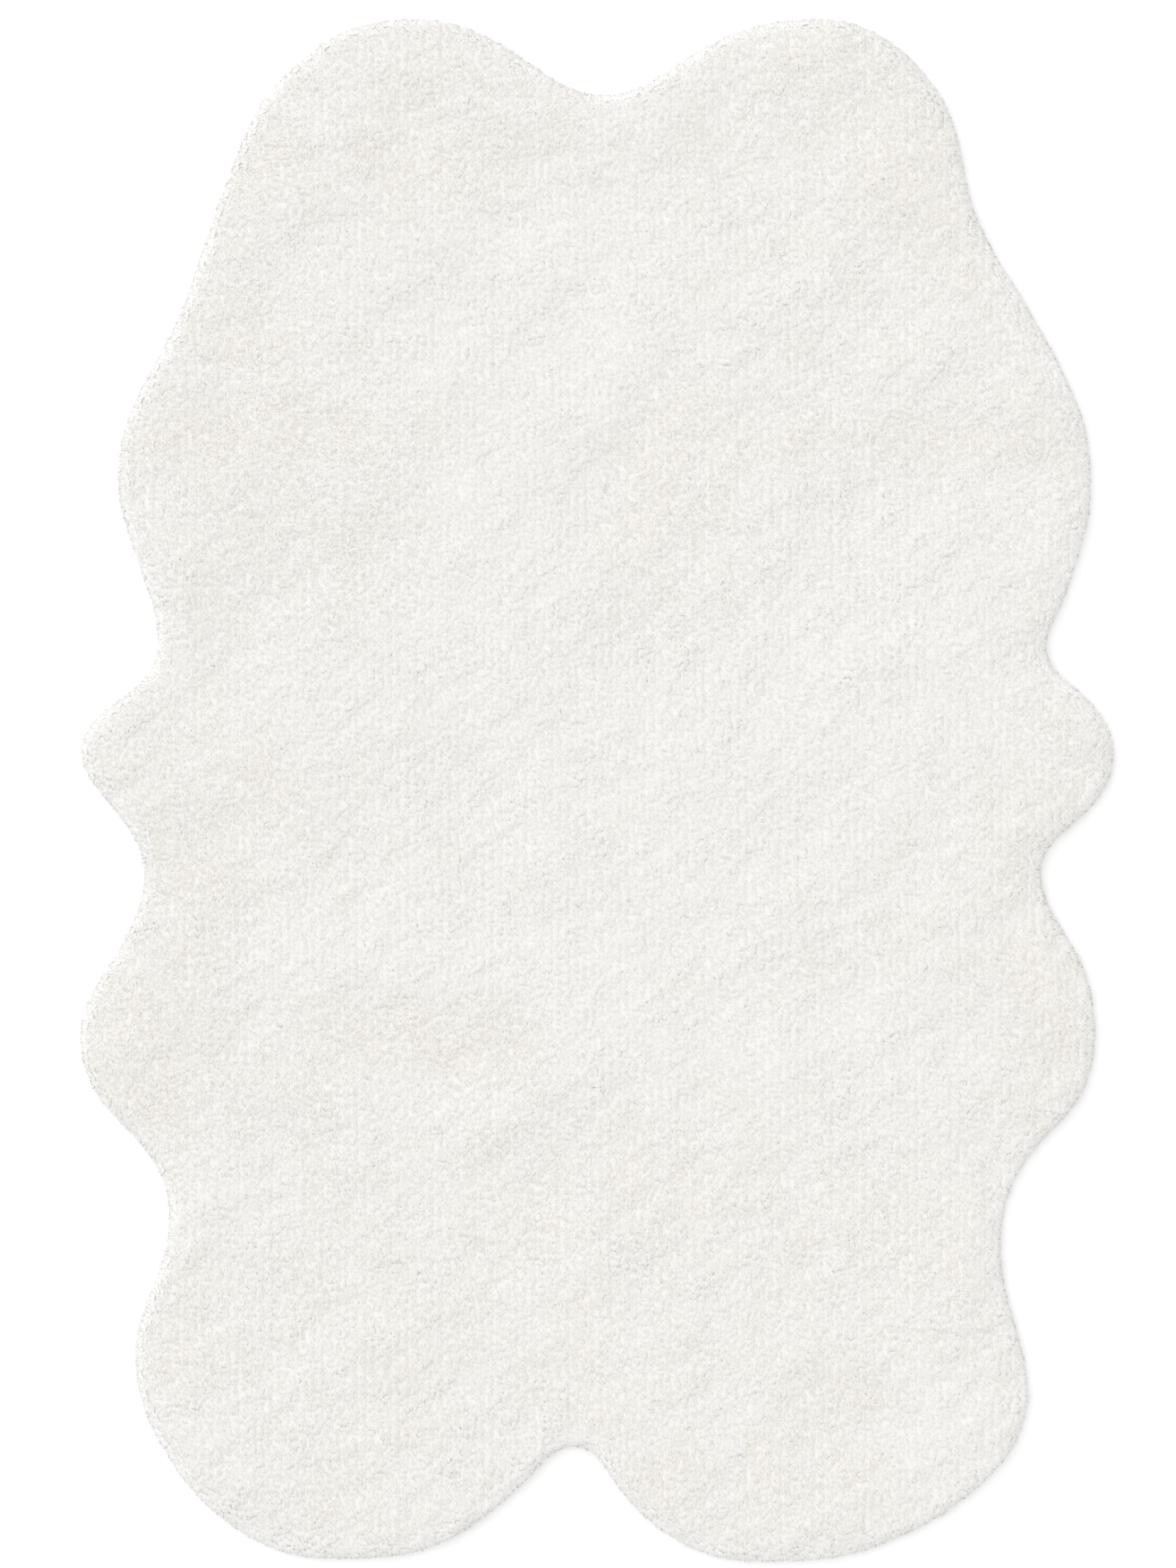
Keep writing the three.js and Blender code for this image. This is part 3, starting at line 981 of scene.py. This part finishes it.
def nap_at(x, y, rng):
    """How the pile leans at each point, as a flat vector, how rough it lies and how creamy it is, the
    creamy colour also being painted shade.
    """
    wander = soft_layers(x, y, NAP_WANDER, rng)
    ragged = soft_layers(x, y, NAP_RAGGED, rng)
    total = np.zeros(len(x))
    lean = np.zeros((len(x), 2))
    rough, cream_and_shade = np.zeros(len(x)), np.zeros(len(x))
    for patch in (BASE_NAP, *NAP_PATCHES):
        if patch is BASE_NAP:
            weight = np.full(len(x), BASE_WEIGHT)
        else:
            across, along = (x - patch.x) / (patch.width / 2), (y - patch.y) / (patch.length / 2)
            weight = np.exp(-np.maximum(across**2 + along**2 + ragged, 0))
        heading = np.radians(patch.heading + wander)
        lean += (weight * patch.lean)[:, None] * np.column_stack([np.cos(heading), np.sin(heading)])
        rough += weight * patch.rough
        cream_and_shade += weight * patch.cream_and_shade
        total += weight
    return lean / total[:, None], rough / total, cream_and_shade / np.maximum(total, 1)


def clump_pull(x, y, pitch, rng):
    """The way from each point to the middle of its clump, in clump pitches."""
    low = np.array(CAD_BOX[0])[:2] - 2 * pitch
    counts = np.ceil((np.array(CAD_BOX[1])[:2] - low) / pitch).astype(int) + 4
    offsets = rng.uniform(*CLUMP_SPAN, (*counts, 2))
    u, v = (x - low[0]) / pitch, (y - low[1]) / pitch
    best = np.full(len(x), np.inf)
    way = np.zeros((len(x), 2))
    for di in (-1, 0, 1):
        for dj in (-1, 0, 1):
            i, j = u.astype(int) + di, v.astype(int) + dj
            step = np.column_stack([i + offsets[i, j, 0] - u, j + offsets[i, j, 1] - v])
            apart = np.hypot(step[:, 0], step[:, 1])
            closer = apart < best
            best[closer] = apart[closer]
            way[closer] = step[closer]
    return way


def tint_at(x, y, rng):
    """How creamy each tuft is, the creamy colour also darker as painted shade: broad patches, small
    blotches and a little of its own.
    """
    _, _, cream_and_shade = nap_at(x, y, rng)
    blotches = soft_layers(x, y, BLOTCHES, rng)
    own = rng.normal(0, TINT_SPREAD, len(x))
    return np.clip(TINT_MIDDLE + TINT_OF_CREAM * cream_and_shade + blotches + own, 0, 1)


def grown(root, normal, start, bend, length, pile, rng):
    """Tufts with these roots, ways and lengths, each a little thicker or thinner than the next."""
    count = len(root)
    side = rng.normal(0, 1, (count, 3))
    radius = pile.tuft_radius * rng.uniform(*RADIUS_SPAN, count)
    twist = rng.normal(0, TWIST_SPREAD, count)
    puffs = rng.uniform(*PUFF_SPAN, count)
    uneven = np.column_stack([puffs, rng.uniform(*STRAND_SPAN, (count, MOST_STRANDS))])
    tint = tint_at(root[:, 0], root[:, 1], rng)
    return Tufts(root, normal, start, bend, side, length, radius, twist, uneven, tint)


def field_tufts(bed, pile, rng):
    """The tufts of the rug's top, which lean with the nap and at the rim fade to a painted near-white
    glow.
    """
    root, normal, inset, outward = field_roots(bed, pile, rng)
    x, y = root[:, 0], root[:, 1]
    lean, rough, _ = nap_at(x, y, rng)
    lean = lean + rough[:, None] * rng.normal(0, ROUGH_SPREAD, lean.shape)
    lean += pile.clump_pull * clump_pull(x, y, pile.clump_pitch, rng)
    splay = np.clip(1 - (inset - FIELD_INSET) / pile.splay_width, 0, 1)[:, None] ** 2
    lean = lean * (1 - SPLAY_LOSS * splay) + SPLAY_LEAN * splay * outward
    flat = np.column_stack([lean, np.zeros(len(x))])
    lumps = pile_lumps(pile, rng)
    normal = unit(normal * (RELIEF_TILT, RELIEF_TILT, 1) - RELIEF_TILT * slope_of(lumps, x, y))
    start = unit(normal + START_LEAN * flat)
    bend = unit(normal + TIP_LEAN * flat) - start
    length = pile.tuft_length * rng.normal(1, LENGTH_SPREAD, len(x)) + lumps(x, y)
    root = root - ROOT_DEPTH * normal
    tufts = grown(root, normal, start, bend, length, pile, rng)
    # Painted glow: near the rim the tint falls below 0, towards the near-white glow colour
    near = np.clip(1 - (inset - FIELD_INSET) / RIM_GLOW_FADE, 0, 1)
    return tufts._replace(tint=tufts.tint - RIM_GLOW * near**2)


def rim_roots(bed, tree, turn, shift, rng):
    """Roots of one row of the rim's tufts, with the bed's normal and the way down at each."""
    places, out = rim_curve(RIM_PITCH, shift)
    places = places + rng.normal(0, RIM_SHIFT * RIM_PITCH, (len(places), 1)) * out[:, ::-1] * (-1, 1)
    turn = np.radians(turn + rng.normal(0, RIM_SWAY, len(places)))[:, None]
    sine, cosine = np.sin(turn), np.cos(turn)
    tall = np.where(cosine > 0, RIM_RADII[1], RIM_MIDDLE[1])
    flat = places + (RIM_MIDDLE[0] + RIM_RADII[0] * sine) * out
    wanted = np.column_stack([flat, RIM_MIDDLE[1] + tall * cosine])
    roots, normals = [], []
    for point in wanted:
        place, _, face, _ = tree.find_nearest(point)
        roots.append(place)
        normals.append(bed_normal(bed, place, face))
    normal = unit(np.array(normals))
    ahead = np.column_stack([-out[:, 1], out[:, 0], np.zeros(len(out))])
    return np.array(roots), normal, unit(np.cross(ahead, normal))


def rim_tufts(bed, pile, rng):
    """The tufts of the rounded rim, in rows that lie over each other down to the floor."""
    parts = []
    tree = bed_tree(bed)
    for row, turn in enumerate(RIM_TURNS):
        root, normal, down = rim_roots(bed, tree, turn, row % 2 / 2, rng)
        stray = rng.normal(0, RIM_STRAY, normal.shape)
        start = unit(RIM_START[0] * normal + RIM_START[1] * down + stray)
        bend = unit(RIM_TIP * normal + down + stray) - start - RIM_HUG * normal
        waves = soft_layers(root[:, 0], root[:, 1], (RIM_WAVES,), rng)
        spread = rng.normal(0, RIM_SPREAD, len(root))
        length = RIM_LENGTH * pile.tuft_length * (1 + waves + spread)
        length = np.minimum(length, root[:, 2] + RIM_SPARE)
        parts.append(grown(root - ROOT_DEPTH * normal, normal, start, bend, length, pile, rng))
    tufts = Tufts(*(np.concatenate(values) for values in zip(*parts)))
    # Painted glow: all the rim's tufts take in the near-white glow colour
    return tufts._replace(tint=tufts.tint - RIM_GLOW)


# Stage


def make_floor(stage):
    bpy.ops.mesh.primitive_plane_add(size=stage.floor_size, location=(0, 0, 0))
    floor = bpy.context.active_object
    floor.name = "studio_floor"
    floor.data.materials.append(floor_paper(stage.floor_color))


def make_lights(stage):
    """An even white dome and two far soft lamps, one above and one at the upper left."""
    world = bpy.data.worlds.new("studio_dome")
    bpy.context.scene.world = world
    world.use_nodes = True
    dome = world.node_tree.nodes["Background"]
    dome.inputs["Color"].default_value = (1, 1, 1, 1)
    dome.inputs["Strength"].default_value = stage.dome_strength
    lamps = (
        ("top_lamp", TOP_PLACE, stage.top_strength),
        ("key_lamp", KEY_PLACE, stage.key_strength),
    )
    for name, place, strength in lamps:
        bpy.ops.object.light_add(type="SUN", location=place)
        lamp = bpy.context.active_object
        lamp.name = name
        lamp.rotation_euler = (-Vector(place)).to_track_quat("-Z", "Y").to_euler()
        lamp.data.energy = strength
        lamp.data.angle = stage.lamp_spread


def make_camera(stage):
    bpy.ops.object.camera_add(location=(*stage.aim, stage.camera_height), rotation=(0, 0, 0))
    camera = bpy.context.active_object
    camera.name = "overhead_camera"
    camera.data.lens = stage.lens
    bpy.context.scene.camera = camera


# Operators and panel


class RUG_OT_stage(bpy.types.Operator):
    """Adds the floor, the soft light and the overhead camera"""

    bl_idname = "rug.stage"
    bl_label = "Stage"

    def execute(self, context):
        stage = context.scene.rug_stage
        make_floor(stage)
        make_lights(stage)
        make_camera(stage)
        context.scene.view_settings.view_transform = "Standard"
        context.scene.cycles.diffuse_bounces = stage.bounces
        return {"FINISHED"}


class RUG_OT_bed(bpy.types.Operator):
    """Makes the bed of under-wool that the tufts grow from"""

    bl_idname = "rug.bed"
    bl_label = "Wool bed"

    def execute(self, context):
        make_bed(context.scene.rug_pile, context.scene.rug_wool)
        return {"FINISHED"}


class RUG_OT_field(bpy.types.Operator):
    """Grows the tufts of the rug's top, in strips from its top end to its foot"""

    bl_idname = "rug.field"
    bl_label = "Field tufts"

    def execute(self, context):
        pile = context.scene.rug_pile
        rng = np.random.default_rng(pile.seed)
        tufts = field_tufts(bpy.data.objects[BED_PIECE], pile, rng)
        material = tuft_wool(context.scene.rug_wool)
        shape = tuft_shape(FIELD_STYLE)
        strips = np.array_split(np.argsort(-tufts.root[:, 1]), len(FIELD_PIECES))
        for name, strip in zip(FIELD_PIECES, strips):
            joined_tufts(name, shape, tufts.part(strip), material)
        return {"FINISHED"}


class RUG_OT_rim(bpy.types.Operator):
    """Grows the rows of tufts round the rim"""

    bl_idname = "rug.rim"
    bl_label = "Rim tufts"

    def execute(self, context):
        pile = context.scene.rug_pile
        rng = np.random.default_rng(pile.seed + 1)
        shape = tuft_shape(RIM_STYLE)
        tufts = rim_tufts(bpy.data.objects[BED_PIECE], pile, rng)
        joined_tufts(RIM_PIECE, shape, tufts, tuft_wool(context.scene.rug_wool))
        return {"FINISHED"}


class RUG_OT_backing(bpy.types.Operator):
    bl_idname = "rug.backing"
    bl_label = "Backing"

    def execute(self, context):
        backing, flat, area = make_backing(context.scene.rug_pile, context.scene.rug_wool)
        return {"FINISHED"}


class RUG_PT_panel(bpy.types.Panel):
    """Lists the steps and the settings of the rug"""

    bl_label = "Shag rug"
    bl_idname = "RUG_PT_panel"
    bl_space_type = "VIEW_3D"
    bl_region_type = "UI"
    bl_category = "Shag rug"

    def draw(self, context):
        layout = self.layout
        for step in STEPS:
            layout.operator(step.bl_idname)
        for name in SETTINGS:
            settings = getattr(context.scene, name)
            box = layout.box()
            for key in settings.__annotations__:
                box.prop(settings, key)


STEPS = (RUG_OT_stage, RUG_OT_bed, RUG_OT_field, RUG_OT_rim, RUG_OT_backing)
SETTINGS = {"rug_pile": RugPileSettings, "rug_wool": RugWoolSettings, "rug_stage": RugStageSettings}


def register():
    for cls in (*SETTINGS.values(), *STEPS, RUG_PT_panel):
        bpy.utils.register_class(cls)
    for name, cls in SETTINGS.items():
        setattr(bpy.types.Scene, name, PointerProperty(type=cls))


def unregister():
    for name in SETTINGS:
        delattr(bpy.types.Scene, name)
    for cls in reversed((*SETTINGS.values(), *STEPS, RUG_PT_panel)):
        bpy.utils.unregister_class(cls)


def main():
    register()
    bpy.ops.rug.stage()
    bpy.ops.rug.bed()
    bpy.ops.rug.field()
    bpy.ops.rug.rim()
    bpy.ops.rug.backing()


if __name__ == "__main__":
    main()
